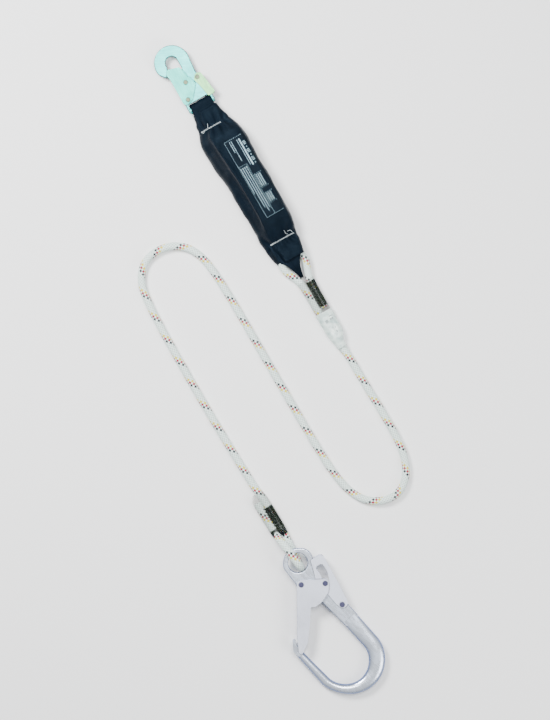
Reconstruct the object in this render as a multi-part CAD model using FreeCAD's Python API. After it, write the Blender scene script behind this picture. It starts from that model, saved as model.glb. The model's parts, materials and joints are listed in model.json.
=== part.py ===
import FreeCAD, Part
import math
import os
from FreeCAD import Placement, Rotation, Vector

# Shock absorbing lanyard: snap hook, tear-webbing absorber, kernmantle rope
# with two sewn eyes, scaffold hook. Millimetres, +Z up, the floor is z = 0.
# The lanyard lies flat, with its origin under the middle of its hardware.

# ---------------------------------------------------------------- driving sizes
ROPE_DIA = 11.0
ROPE_R = ROPE_DIA / 2
CORNER_SHARE = 0.45      # part of a run that each of its two corners may take up
RUN_FIT = 0.05           # radial running clearance of a rivet in its hole
SLIP = 0.3               # gap between neighbouring loose pieces
HEAD_GAP = 0.1           # gap under the head of a rivet that turns
SEAT_GAP = 0.03          # gap under the head of a pin that is fixed in its cheeks
SPRING_TURNS = 2.5
SPRING_END_GAP = 0.2     # gap above and below a torsion spring in its pocket
THROUGH = 20.0           # half height of a cutter that passes through a whole hook

# the absorber line: local x runs from the snap hook's bar to the rope
LINE_ORIGIN = Vector(-98.0, 388.0, 0)
LINE_HEADING = -60.0

# the eye end: local x runs along the rope into the scaffold hook's ring
RING_CENTRE = Vector(40.5, -281.0, 17.5)
EYE_HEADING = -58.5
HOOK_TILT = 2.86         # the ring is held up by the rope that passes under it
HOOK_TILT_HEADING = -66.0

# snap hook
SNAP_MID_Z = 9.6
SNAP_BODY_HALF = 4.0     # half thickness of the body
SNAP_PLATE = 1.6         # sheet of the gate and the lever
SNAP_RIVET_R = 2.2
SNAP_HEAD_R = 3.3
SNAP_HEAD = 0.9          # height of a rivet's head
SNAP_SPRING_GAP = 1.1    # from the rivet's surface to the middle of the spring's wire
SNAP_SPRING_WIRE = 0.8
SNAP_SPRING_DEPTH = 3.2
SNAP_BAR = Vector(1.0, 0.0, 0.0)
SNAP_BAR_R = 5.0
SNAP_BAR_HALF = 20.0
SNAP_BAR_MIDDLE = -2.0   # the bar's middle, across the line
SNAP_GATE_PIVOT = Vector(-14.8, -15.9, 0)
SNAP_STOP_PIN = Vector(-38.6, -6.4, 0)
SNAP_LEVER_PIVOT = Vector(-36.9, 12.2, 0)
SNAP_BOW = Vector(-73.0, -9.5, 0)
SNAP_BOW_R = 26.0
SNAP_GATE_TURN = 20.0
SNAP_LEVER_TURN = 5.0

# webbing and pack
WEB_THICK = 2.5
WEB_LEFT = -19.5         # edges of the upper loop, across the line
WEB_RIGHT = 14.5
TEAR_LEFT = -15.0        # the folded webbing lies under the label side of the cover
TEAR_RIGHT = 25.0
COVER_WALL = 1.4
COVER_CORNER = 5.0
TEAR_START = 74.0
TEAR_END = 192.0
TEAR_LOW = 4.2
PLY_COUNT = 7
PLY_PITCH = 3.3
PLY_THICK = 2.6
PLY_FOLD = 2.0           # length of the bend that joins two plies

# splices: the two legs of a sewn eye lie side by side
LEG_HALF = 5.8
SPLICE_Z = 7.6
WRAP_THICK = 0.6
WRAP_ROOM = 0.25         # the rope bends a little under its thread wrap
WRAP_EDGE = 2.2          # the wrap stops short of the other leg
SLEEVE_WALL = 0.7
SLEEVE_ROOM = 0.2

# scaffold hook
BODY_HALF = 5.5
LEVER_SHEET = 1.6
GATE_SHEET = 1.8
PIN_R = 2.8
PIN_HEAD_R = 3.9
PIN_HEAD = 1.0
PIN_SPRING_GAP = 1.3
PIN_SPRING_WIRE = 1.0
PIN_SPRING_DEPTH = 4.0
RING_R = 21.3
RING_HOLE_R = 14.3
GATE_PIVOT = Vector(4.7, -31.5, 0)
LOCK_PIN = Vector(39.7, -29.5, 0)
LEVER_PIVOT = Vector(64.5, -60.6, 0)
GATE_TURN = 40.0
LEVER_TURN = 4.0
BOW_CENTRE = Vector(77.0, -141.5, 0)
BOW_R = 50.5

NODES = {}


# ---------------------------------------------------------------- helpers
def keep(name, shape):
    """Collect one finished node."""
    solids = shape.Solids
    if len(solids) == 1:
        shape = solids[0]
    NODES[name] = shape


def rounded_wire(points, z):
    """Closed outline: each point is (x, y, corner radius)."""
    count = len(points)
    edges = []
    ends = []
    for i in range(count):
        x, y, radius = points[i]
        corner = Vector(x, y, z)
        back = Vector(points[i - 1][0], points[i - 1][1], z) - corner
        ahead = Vector(points[(i + 1) % count][0], points[(i + 1) % count][1], z) - corner
        back.normalize()
        ahead.normalize()
        half = back.getAngle(ahead) / 2
        if radius < 1e-6 or abs(half - math.pi / 2) < 1e-4:
            ends.append((corner, None, corner))
            continue
        reach = radius / math.tan(half)
        bisector = back + ahead
        bisector.normalize()
        middle = corner + bisector * (radius / math.sin(half) - radius)
        ends.append((corner + back * reach, middle, corner + ahead * reach))
    for i in range(count):
        start, middle, stop = ends[i]
        if middle is not None:
            edges.append(Part.Arc(start, middle, stop).toShape())
        following = ends[(i + 1) % count][0]
        if stop.distanceToPoint(following) > 1e-4:
            edges.append(Part.LineSegment(stop, following).toShape())
    return Part.Wire(Part.__sortEdges__(edges))


def plate(points, low, high):
    """Prism of a rounded outline between two heights."""
    face = Part.Face(rounded_wire(points, low))
    return face.extrude(Vector(0, 0, high - low))


def channel(outline, fold, inner, outer):
    """Sheet folded into a U: two cheeks joined where the fold region reaches."""
    shape = plate(outline, -outer, outer)
    hollow = box(-200, 200, -200, 200, -inner, inner).cut(plate(fold, -inner - 1, inner + 1))
    return shape.cut(hollow)


def soften(shape, radius, levels):
    """Round the edges that lie flat at the given heights."""
    rims = []
    for edge in shape.Edges:
        limits = edge.BoundBox
        flat = limits.ZMax - limits.ZMin < 0.01
        if flat and min(abs(limits.ZMax - level) for level in levels) < 0.01:
            rims.append(edge)
    return shape.makeFillet(radius, rims)


def cylinder(centre, radius, low, high):
    base = Vector(centre.x, centre.y, low)
    return Part.makeCylinder(radius, high - low, base, Vector(0, 0, 1))


def box(x0, x1, y0, y1, z0, z1):
    return Part.makeBox(x1 - x0, y1 - y0, z1 - z0, Vector(x0, y0, z0))


def arc_slot(centre, radius, half_width, start_deg, stop_deg, low, high):
    """Curved slot cutter: a band of a ring with round ends."""
    ring = cylinder(centre, radius + half_width, low, high)
    ring = ring.cut(cylinder(centre, radius - half_width, low - 1, high + 1))
    reach = 3 * radius
    first = math.radians(start_deg)
    last = math.radians(stop_deg)
    corners = [Vector(centre.x, centre.y, low)]
    steps = 4
    for i in range(steps + 1):
        angle = first + (last - first) * i / steps
        corners.append(centre + Vector(reach * math.cos(angle), reach * math.sin(angle), low))
    corners.append(corners[0])
    wedge = Part.Face(Part.makePolygon(corners)).extrude(Vector(0, 0, high - low))
    slot = ring.common(wedge)
    for angle in (first, last):
        end = centre + Vector(radius * math.cos(angle), radius * math.sin(angle), 0)
        slot = slot.fuse(cylinder(end, half_width, low, high))
    return slot.removeSplitter()


def rivet(centre, radius, head_radius, grip_half, head):
    """Round rivet with two domed heads, centred on z = 0."""
    shape = cylinder(centre, radius, -grip_half - head / 2, grip_half + head / 2)
    for side in (-1, 1):
        low = grip_half if side > 0 else -grip_half - head
        cap = cylinder(centre, head_radius, low, low + head)
        outer = grip_half + head
        rims = [e for e in cap.Edges
                if e.Curve.TypeId == "Part::GeomCircle" and abs(e.CenterOfMass.z - side * outer) < 1e-3]
        shape = shape.fuse(cap.makeFillet(head * 0.7, rims))
    return shape.removeSplitter()


def coil(centre, radius, wire, low, high, turns):
    """Torsion spring round a pivot."""
    height = high - low - wire
    helix = Part.makeHelix(height / turns, height, radius)
    start = Vector(radius, 0, 0)
    ring = Part.Wire(Part.makeCircle(wire / 2, start, Vector(0, 1, 0)))
    spring = Part.Wire(helix.Edges).makePipeShell([ring], True, True)
    spring.translate(Vector(centre.x, centre.y, low + wire / 2))
    return spring


def spring_pocket(pivot, pin_radius, gap, depth, half):
    """Cutter for the recess of a torsion spring in the upper face of a body."""
    return cylinder(pivot, pin_radius + 2 * gap, half - depth, half + depth)


def pocket_spring(pivot, pin_radius, gap, wire, depth, half):
    """Torsion spring lying in its recess."""
    return coil(pivot, pin_radius + gap, wire, half - depth + SPRING_END_GAP, half - SPRING_END_GAP, SPRING_TURNS)


def turn_about(shape, centre, degrees):
    turned = shape.copy()
    turned.rotate(centre, Vector(0, 0, 1), degrees)
    return turned


def line_place(height):
    return Placement(LINE_ORIGIN + Vector(0, 0, height), Rotation(Vector(0, 0, 1), LINE_HEADING))


def eye_place():
    base = Vector(RING_CENTRE.x, RING_CENTRE.y, 0)
    return Placement(base, Rotation(Vector(0, 0, 1), EYE_HEADING))


def hook_place():
    heading = math.radians(HOOK_TILT_HEADING)
    axis = Vector(-math.sin(heading), math.cos(heading), 0)
    return Placement(RING_CENTRE, Rotation(axis, HOOK_TILT))


def bearing(start, stop):
    """Direction from one point to another, in degrees."""
    return math.degrees(math.atan2(stop.y - start.y, stop.x - start.x))


def placed(shape, placement):
    moved = shape.copy()
    moved.transformShape(placement.toMatrix())
    return moved


# ---------------------------------------------------------------- snap hook
def snap_hook():
    spot = line_place(SNAP_MID_Z)
    half = SNAP_BODY_HALF
    gate_in = half + SLIP
    gate_out = gate_in + SNAP_PLATE
    lever_in = gate_out + SLIP
    lever_out = lever_in + SNAP_PLATE

    crown = SNAP_BOW.x - SNAP_BOW_R
    left = SNAP_BOW.y - SNAP_BOW_R
    right = SNAP_BOW.y + SNAP_BOW_R
    body = plate([
        (crown, left, SNAP_BOW_R - 0.1), (-67.5, left, 12), (-58.2, -28.2, 2.0), (-61.5, -22.4, 2.0),
        (-71.0, -19.0, 4), (-83.0, -19.0, 9), (-83.0, -0.6, 9), (-60.0, -0.6, 5), (-44.0, -8.0, 4),
        (-27.0, -9.0, 5), (-23.0, -21.5, 3), (-4.0, -23.6, 6), (5.6, -23.6, 3), (5.6, 19.4, 4),
        (-12.0, 18.0, 8), (-34.0, 16.6, 6), (-46.0, 13.8, 10), (-72.0, right, 12),
        (crown, right, SNAP_BOW_R - 0.1),
    ], -half, half)
    body = soften(body, 1.2, (-half, half))
    slot = plate([(-8.6, -20.0, 2), (-8.6, 15.5, 2), (6.0, 15.5, 1), (6.0, -20.0, 1)], -half - 1, half + 1)
    body = body.cut(slot)
    bar_start = Vector(SNAP_BAR.x, SNAP_BAR_MIDDLE - SNAP_BAR_HALF, 0)
    bar = Part.makeCylinder(SNAP_BAR_R, 2 * SNAP_BAR_HALF, bar_start, Vector(0, 1, 0))
    body = body.fuse(bar)
    pin_bearing = bearing(SNAP_GATE_PIVOT, SNAP_STOP_PIN)
    relief = arc_slot(SNAP_GATE_PIVOT, SNAP_GATE_PIVOT.distanceToPoint(SNAP_STOP_PIN),
                      SNAP_RIVET_R + 3 * SLIP, pin_bearing - SNAP_GATE_TURN - 6, pin_bearing + 2,
                      -half - 1, half + 1)
    body = body.cut(relief)
    for pivot in (SNAP_GATE_PIVOT, SNAP_LEVER_PIVOT):
        body = body.cut(cylinder(pivot, SNAP_RIVET_R + RUN_FIT, -half - 1, half + 1))
        body = body.cut(spring_pocket(pivot, SNAP_RIVET_R, SNAP_SPRING_GAP, SNAP_SPRING_DEPTH, half))
    keep("snap_hook_body", placed(body.removeSplitter(), spot))

    side = [
        (-67.5, -21.0, 2), (-62.4, -3.6, 2), (-46.0, 1.2, 5), (-30.0, 5.6, 4), (-11.8, -10.2, 5),
        (-8.4, -21.8, 5), (-12.0, -24.6, 3), (-53.0, -24.0, 4), (-60.0, -25.6, 2),
    ]
    fold = [(-59.6, -34.0, 0), (-58.8, -23.8, 0), (-53.0, -22.4, 2), (-25.0, -22.8, 0), (-25.0, -34.0, 0)]
    gate = channel(side, fold, gate_in, gate_out)
    for pin in (SNAP_GATE_PIVOT, SNAP_STOP_PIN):
        gate = gate.cut(cylinder(pin, SNAP_RIVET_R + RUN_FIT, -THROUGH, THROUGH))
    lever_bearing = bearing(SNAP_GATE_PIVOT, SNAP_LEVER_PIVOT)
    notch = arc_slot(SNAP_GATE_PIVOT, SNAP_GATE_PIVOT.distanceToPoint(SNAP_LEVER_PIVOT),
                     SNAP_RIVET_R + 0.5, lever_bearing - 4, lever_bearing + SNAP_GATE_TURN + 1,
                     -THROUGH, THROUGH)
    gate = gate.cut(notch)
    keep("snap_hook_gate", placed(gate.removeSplitter(), spot))

    strip = [
        (-43.0, 12.0, 4), (-41.0, 19.6, 3), (-6.0, 24.6, 2.5), (-4.6, 13.0, 2), (-27.0, 8.6, 3), (-36.0, 5.8, 4),
    ]
    fold = [(-42.0, 40.0, 0), (-39.6, 18.2, 0), (-5.8, 22.9, 0), (-4.0, 40.0, 0)]
    lever = channel(strip, fold, lever_in, lever_out)
    lever = lever.cut(cylinder(SNAP_LEVER_PIVOT, SNAP_RIVET_R + RUN_FIT, -THROUGH, THROUGH))
    keep("snap_hook_lever", placed(lever.removeSplitter(), spot))

    for name, place, grip in (
        ("gate_rivet", SNAP_GATE_PIVOT, gate_out + HEAD_GAP),
        ("stop_pin", SNAP_STOP_PIN, gate_out + SEAT_GAP),
        ("lever_rivet", SNAP_LEVER_PIVOT, lever_out + HEAD_GAP),
    ):
        keep("snap_hook_" + name, placed(rivet(place, SNAP_RIVET_R, SNAP_HEAD_R, grip, SNAP_HEAD), spot))
    for name, pivot in (("gate", SNAP_GATE_PIVOT), ("lever", SNAP_LEVER_PIVOT)):
        spring = pocket_spring(pivot, SNAP_RIVET_R, SNAP_SPRING_GAP, SNAP_SPRING_WIRE, SNAP_SPRING_DEPTH, half)
        keep("snap_hook_" + name + "_spring", placed(spring, spot))


# ---------------------------------------------------------------- absorber
def side_profile(points, y0, y1):
    """Prism across the webbing from an outline drawn in the x-z plane."""
    shape = plate(points, 0, y1 - y0)
    shape.rotate(Vector(0, 0, 0), Vector(1, 0, 0), 90)
    shape.translate(Vector(0, y1, 0))
    return shape


def rounded_section(x, y0, y1, z0, z1, radius):
    """Rounded rectangle standing across the absorber line."""
    wire = rounded_wire([(y0, z0, radius), (y1, z0, radius), (y1, z1, radius), (y0, z1, radius)], 0)
    wire.rotate(Vector(0, 0, 0), Vector(1, 1, 1), 120)
    wire.translate(Vector(x, 0, 0))
    return wire


# cover stations: place along the line, left side, right side, underside, top
COVER_STATIONS = [
    (9.0, -21.5, 16.5, 0.4, 20.6),
    (25.0, -25.5, 20.6, 1.8, 21.2),
    (36.0, -27.0, 22.5, 7.4, 22.0),
    (56.0, -33.0, 29.0, 1.4, 31.5),
    (75.0, -33.5, 31.0, 0.0, 34.0),
    (190.0, -30.0, 30.5, 0.0, 34.0),
    (212.0, -29.5, 27.5, 1.4, 31.5),
    (229.0, -29.0, 23.0, 7.0, 21.0),
    (238.0, -27.0, 21.0, 6.0, 20.5),
]


def absorber():
    spot = line_place(0)

    outer = []
    inner = []
    wall = COVER_WALL
    last = len(COVER_STATIONS) - 1
    for i, (x, y0, y1, z0, z1) in enumerate(COVER_STATIONS):
        past_the_end = -1.0 if i == 0 else (1.0 if i == last else 0.0)
        outer.append(rounded_section(x, y0, y1, z0, z1, COVER_CORNER))
        inner.append(rounded_section(x + past_the_end, y0 + wall, y1 - wall, z0 + wall, z1 - wall,
                                     COVER_CORNER - wall))
    cover = Part.makeLoft(outer, True, True).cut(Part.makeLoft(inner, True, True))
    keep("absorber_cover", placed(cover, spot))

    layers = []
    for i in range(PLY_COUNT):
        low = TEAR_LOW + i * PLY_PITCH
        layers.append(box(TEAR_START, TEAR_END, TEAR_LEFT, TEAR_RIGHT, low, low + PLY_THICK))
        if i + 1 < PLY_COUNT:
            fold_x = TEAR_END - PLY_FOLD if i % 2 == 0 else TEAR_START
            layers.append(box(fold_x, fold_x + PLY_FOLD, TEAR_LEFT, TEAR_RIGHT, low, low + PLY_PITCH + PLY_THICK))
    keep("tear_webbing", placed(layers[0].fuse(layers[1:]).removeSplitter(), spot))

    room = SNAP_BAR_R + SLIP
    skin = room + WEB_THICK
    mid = SNAP_MID_Z
    top = mid + skin
    loop_start = SNAP_BAR.x - skin
    teardrop = side_profile([
        (loop_start, mid - skin, skin * 0.98), (loop_start, top, skin * 0.98), (38.0, 17.6, 4),
        (72.0, 17.6, 0.5), (72.0, 12.4, 0.5), (38.0, 12.4, 4), (4.0, mid - skin, 6),
    ], WEB_LEFT, WEB_RIGHT)
    hole = side_profile([
        (SNAP_BAR.x - room, mid - room, room * 0.98), (SNAP_BAR.x - room, mid + room, room * 0.98),
        (16.0, 14.6, 6), (34.0, 15.0, 0.1), (4.0, mid - room, 6),
    ], -60, 60)
    keep("upper_webbing_loop", placed(teardrop.cut(hole), spot))

    link = side_profile([
        (194.5, 17.6, 0.5), (228.0, 17.6, 3), (243.0, 18.8, 6), (266.0, 19.0, 8), (293.0, 10.8, 2.8),
        (292.0, 4.8, 2.8), (266.0, 0.0, 8), (243.5, 0.0, 4), (235.5, 12.4, 5), (194.5, 12.4, 0.5),
    ], -22, 22)
    gap = side_profile([
        (239.5, 12.0, 0.5), (243.0, 16.2, 3), (266.0, 16.4, 6), (288.5, 9.2, 0.8), (287.5, 7.2, 0.6),
        (266.0, 2.5, 6), (246.0, 2.5, 3),
    ], -60, 60)
    plan = plate([
        (190.0, -20.0, 0), (258.0, -20.0, 4), (264.5, -12.6, 5), (276.0, -8.2, 20), (293.0, -2.8, 3),
        (294.0, 1.2, 3), (276.0, 4.4, 20), (264.5, 9.8, 5), (258.0, 18.0, 4), (190.0, 20.0, 0),
    ], -5, 60)
    keep("lower_webbing_loop", placed(link.cut(gap).common(plan), spot))

    upper = box(35.6, 37.4, -22.5, 9.5, 22.95, 23.8)
    lower = box(227.8, 229.6, -18.5, 20.0, 21.95, 22.8)
    keep("upper_bar_stitch", placed(upper, spot))
    keep("lower_bar_stitch", placed(lower, spot))
    label = plate([(78.0, -4.0, 1), (188.0, -4.0, 1), (188.0, 25.0, 1), (78.0, 25.0, 1)], 34.15, 34.65)
    keep("instruction_label", placed(label, spot))


# ---------------------------------------------------------------- rope
# The rope's route is a list of points in three stretches, end to end: the upper
# eye in the absorber line's frame, the free rope on the floor in the part's
# frame, and the lower eye in the eye end's frame.
UPPER_EYE = [
    (346.0, 5.8, 7.6), (301.0, 6.0, 7.6), (286.0, 10.9, 7.9), (269.0, 17.4, 9.0), (255.0, 12.6, 9.3),
    (251.2, -2.5, 9.4), (256.5, -17.0, 9.3), (271.5, -19.4, 9.0), (288.0, -10.8, 7.9), (304.0, -6.1, 7.6),
    (350.0, -5.8, 7.6), (392.0, -4.4, 7.4), (420.0, 0.2, 5.5),
]
FREE_ROPE = [
    (136.0, -17.0), (165.5, -64.5), (190.0, -108.0), (200.5, -144.0), (193.0, -177.0), (165.0, -193.5),
    (130.0, -189.0), (98.0, -160.0), (61.0, -101.0), (1.0, 2.5), (-57.0, 103.5), (-89.0, 154.0),
    (-114.0, 177.0), (-147.0, 182.0), (-181.0, 164.0), (-190.5, 129.0), (-172.0, 84.0), (-127.5, 4.0),
    (-86.0, -68.5), (-44.0, -137.3),
]
LOWER_EYE = [
    (-121.0, 3.2, 6.5), (-101.0, 5.75, 7.6), (-60.0, 5.8, 7.6), (-36.0, 4.4, 6.0), (-12.0, 2.0, 5.8),
    (5.5, 0.6, 6.8), (10.0, 0.2, 18.0), (3.0, -0.4, 30.0), (-16.0, -1.6, 31.6), (-33.0, -3.8, 26.0),
    (-50.0, -5.7, 9.4), (-64.0, -5.8, 7.6), (-104.0, -5.8, 7.6),
]


def rope_points():
    points = [line_place(0).multVec(Vector(*p)) for p in UPPER_EYE]
    points += [Vector(x, y, ROPE_R) for x, y in FREE_ROPE]
    points += [eye_place().multVec(Vector(*p)) for p in LOWER_EYE]
    return points


def rope():
    """Round tube along straight runs joined by arcs that cut the route's corners."""
    points = rope_points()
    edges = []
    here = points[0]
    for i in range(1, len(points) - 1):
        corner = points[i]
        back = points[i - 1] - corner
        ahead = points[i + 1] - corner
        run = min(back.Length, ahead.Length)
        back.normalize()
        ahead.normalize()
        half_turn = (math.pi - back.getAngle(ahead)) / 2
        reach = CORNER_SHARE * run
        radius = reach / math.tan(half_turn)
        bisector = back + ahead
        bisector.normalize()
        rise = radius / math.cos(half_turn) - radius
        start = corner + back * reach
        stop = corner + ahead * reach
        edges.append(Part.LineSegment(here, start).toShape())
        edges.append(Part.Arc(start, corner + bisector * rise, stop).toShape())
        here = stop
    edges.append(Part.LineSegment(here, points[-1]).toShape())
    path = Part.Wire(edges)
    ring = Part.Wire(Part.makeCircle(ROPE_R, points[0], points[1] - points[0]))
    keep("rope", path.makePipeShell([ring], True, False))
    print("rope length", round(path.Length, 1))


def stadium(x, middle, half_span, radius, z):
    """Outline round two legs lying side by side, standing across the line."""
    low = z - radius
    high = z + radius
    y0 = middle - half_span
    y1 = middle + half_span
    edges = [
        Part.LineSegment(Vector(x, y0, low), Vector(x, y1, low)).toShape(),
        Part.Arc(Vector(x, y1, low), Vector(x, y1 + radius, z), Vector(x, y1, high)).toShape(),
        Part.LineSegment(Vector(x, y1, high), Vector(x, y0, high)).toShape(),
        Part.Arc(Vector(x, y0, high), Vector(x, y0 - radius, z), Vector(x, y0, low)).toShape(),
    ]
    return Part.Wire(edges)


def sleeve(stations, wall):
    """Shell round the legs: stations are (x, middle, half span, inner radius, height)."""
    outer = []
    inner = []
    last = len(stations) - 1
    for i, (x, middle, span, radius, z) in enumerate(stations):
        outer.append(stadium(x, middle, span, radius + wall, z))
        shift = -1.0 if i == 0 else (1.0 if i == last else 0.0)
        inner.append(stadium(x + shift, middle, span, radius, z))
    return Part.makeLoft(outer, True, True).cut(Part.makeLoft(inner, True, True))


def wrap(x0, x1):
    """Thread wrap over the sewn leg on the right of the splice."""
    inner = ROPE_R + WRAP_ROOM
    centre = Vector(x0, LEG_HALF, SPLICE_Z)
    ring = Part.makeCylinder(inner + WRAP_THICK, x1 - x0, centre, Vector(1, 0, 0))
    ring = ring.cut(Part.makeCylinder(inner, x1 - x0, centre, Vector(1, 0, 0)))
    return ring.cut(box(x0 - 1, x1 + 1, -2 * LEG_HALF, WRAP_EDGE, -THROUGH, THROUGH))


def splices():
    inner = ROPE_R + WRAP_ROOM + WRAP_THICK + SLEEVE_ROOM
    upper = line_place(0)
    lower = eye_place()
    keep("upper_splice_stitching", placed(wrap(308.0, 345.0), upper))
    keep("lower_splice_stitching", placed(wrap(-99.0, -66.0), lower))
    keep("upper_clear_sleeve", placed(sleeve([
        (304.0, 0, LEG_HALF, inner, SPLICE_Z), (351.0, 0, LEG_HALF, inner, SPLICE_Z)], SLEEVE_WALL), upper))
    keep("id_sleeve", placed(sleeve([
        (351.6, 0, LEG_HALF, inner, SPLICE_Z), (393.0, 0, LEG_HALF, inner, SPLICE_Z),
        (405.0, -1.9, 0.8, ROPE_R + 0.85, SPLICE_Z - 0.35)], SLEEVE_WALL), upper))
    keep("lower_clear_sleeve", placed(sleeve([
        (-116.0, 2.5, 2.6, inner, SPLICE_Z), (-105.0, 0, LEG_HALF, inner, SPLICE_Z),
        (-62.0, 0, LEG_HALF, inner, SPLICE_Z)], SLEEVE_WALL), lower))


# ---------------------------------------------------------------- scaffold hook
def oval_section(centre, across_deg, width, thick, squareness):
    """Closed oval, an ellipse at squareness 2: width in the hook's plane, thick along its normal."""
    across = Vector(math.cos(math.radians(across_deg)), math.sin(math.radians(across_deg)), 0)
    up = Vector(0, 0, 1)
    count = 20
    points = []
    for i in range(count):
        turn = 2 * math.pi * i / count
        spread = abs(math.cos(turn)) ** squareness + abs(math.sin(turn)) ** squareness
        reach = spread ** (-1 / squareness)
        points.append(centre + across * (width / 2 * reach * math.cos(turn))
                      + up * (thick / 2 * reach * math.sin(turn)))
    curve = Part.BSplineCurve()
    curve.interpolate(points, PeriodicFlag=True)
    return Part.Wire(curve.toShape())


# bow stations: bearing from the bow's centre, inner radius, outer radius, thickness
BOW_STATIONS = [
    (42, 27.2, 51.0, 13.5), (19, 26.6, 50.8, 14.5), (-4, 26.6, 50.5, 15.0), (-27, 27.9, 50.5, 15.0),
    (-50, 30.2, 50.5, 14.8), (-73, 33.0, 50.6, 14.4), (-95, 35.8, 50.8, 14.0), (-117, 38.8, 52.0, 13.6),
    (-138, 41.3, 55.0, 13.0),
]


def hook_bow():
    """Straight spine, curved bow and straight arm, one after the other."""
    sections = []
    for bearing, inner_r, outer_r, thick in BOW_STATIONS:
        aim = math.radians(bearing)
        reach = (inner_r + outer_r) / 2
        centre = BOW_CENTRE + Vector(reach * math.cos(aim), reach * math.sin(aim), 0)
        sections.append(oval_section(centre, bearing, outer_r - inner_r, thick, 2.4))
    spine_start = oval_section(Vector(75.0, -80.5, 0), 42, 23.6, 11.6, 5.0)
    nose_end = oval_section(Vector(1.5, -131.5, 0), -138, 10.0, 11.8, 2.4)
    bow = Part.makeLoft(sections, True, False)
    spine = Part.makeLoft([spine_start, sections[0]], True, True)
    arm = Part.makeLoft([sections[-1], nose_end], True, True)
    return bow.fuse(spine).fuse(arm)


def scaffold_hook():
    spot = hook_place()
    half = BODY_HALF
    lever_in = half + SLIP
    lever_out = lever_in + LEVER_SHEET
    gate_in = lever_out + SLIP
    gate_out = gate_in + GATE_SHEET

    eye = plate([
        (-RING_R, RING_R, RING_R - 0.1), (20.8, RING_R, 17), (21.8, 2.6, 3), (31.0, -4.0, 5),
        (49.0, -40.0, 12), (63.0, -54.0, 8), (73.5, -61.0, 4), (88.5, -77.5, 3), (72.0, -94.5, 3),
        (35.0, -57.0, 8), (10.0, -39.0, 4), (1.0, -40.5, 5), (-3.2, -31.0, 6),
        (-RING_R, -8.0, 12),
    ], -half, half)
    eye = eye.cut(cylinder(Vector(0, 0, 0), RING_HOLE_R, -THROUGH, THROUGH))
    nose = plate([
        (3.0, -138.5, 3), (-6.6, -129.5, 3), (-7.6, -113.0, 2.5), (-3.2, -111.8, 1.8), (-2.2, -121.0, 4),
        (9.0, -129.0, 4),
    ], -6.0, 6.0)
    body = soften(eye, 1.6, (-half, half)).fuse(hook_bow()).fuse(nose)
    arm = GATE_PIVOT.distanceToPoint(LOCK_PIN)
    rest = bearing(GATE_PIVOT, LOCK_PIN)
    body = body.cut(arc_slot(GATE_PIVOT, arm, PIN_R + 0.7, rest - 1, rest + GATE_TURN + 1, -THROUGH, THROUGH))
    for pivot in (GATE_PIVOT, LEVER_PIVOT):
        body = body.cut(cylinder(pivot, PIN_R + RUN_FIT, -THROUGH, THROUGH))
        body = body.cut(spring_pocket(pivot, PIN_R, PIN_SPRING_GAP, PIN_SPRING_DEPTH, half))
    keep("scaffold_hook_body", placed(body.removeSplitter(), spot))

    cheek = [
        (18.2, 4.6, 3), (31.5, 11.6, 4), (36.2, 11.6, 5), (60.6, -32.6, 20), (73.6, -58.0, 8), (67.0, -69.0, 7),
        (56.0, -60.0, 4), (41.0, -42.5, 6), (26.0, -24.0, 6), (22.2, -9.0, 12),
    ]
    fold = [
        (33.0, 40.0, 0), (34.6, 9.4, 3), (58.9, -33.4, 20), (68.6, -51.6, 0), (95.0, -51.6, 0), (95.0, 40.0, 0),
    ]
    lever = channel(cheek, fold, lever_in, lever_out)
    window = arc_slot(GATE_PIVOT, arm, PIN_R + 0.8, rest - 1, rest + GATE_TURN + 1, -THROUGH, THROUGH)
    steps = 4
    for i in range(steps + 1):
        lever = lever.cut(turn_about(window, LEVER_PIVOT, -LEVER_TURN * i / steps))
    lever = lever.cut(cylinder(LEVER_PIVOT, PIN_R + RUN_FIT, -THROUGH, THROUGH))
    keep("scaffold_hook_lever", placed(lever.removeSplitter(), spot))

    flank = [
        (-1.4, -27.4, 4), (4.4, -24.8, 8), (40.5, -23.2, 5), (45.2, -26.5, 5), (44.6, -42.0, 14),
        (34.0, -57.5, 12), (26.0, -63.4, 6), (18.6, -64.0, 2), (17.2, -92.0, 60), (14.4, -116.0, 12),
        (6.0, -134.0, 3), (1.6, -131.0, 3), (-0.6, -112.0, 6),
    ]
    fold = [(-20.0, -41.0, 0), (0.6, -41.0, 0), (1.2, -109.0, 0), (-20.0, -109.0, 0)]
    gate = channel(flank, fold, gate_in, gate_out)
    gate = gate.cut(cylinder(GATE_PIVOT, PIN_R + RUN_FIT, -THROUGH, THROUGH))
    gate = gate.cut(cylinder(LOCK_PIN, PIN_R + SEAT_GAP, -THROUGH, THROUGH))
    keep("scaffold_hook_gate", placed(gate.removeSplitter(), spot))

    for name, place, grip in (
        ("gate_rivet", GATE_PIVOT, gate_out + HEAD_GAP),
        ("lock_pin", LOCK_PIN, gate_out + SEAT_GAP),
        ("lever_rivet", LEVER_PIVOT, lever_out + HEAD_GAP),
    ):
        keep("scaffold_hook_" + name, placed(rivet(place, PIN_R, PIN_HEAD_R, grip, PIN_HEAD), spot))
    for name, pivot in (("gate", GATE_PIVOT), ("lever", LEVER_PIVOT)):
        spring = pocket_spring(pivot, PIN_R, PIN_SPRING_GAP, PIN_SPRING_WIRE, PIN_SPRING_DEPTH, half)
        keep("scaffold_hook_" + name + "_spring", placed(spring, spot))


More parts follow.
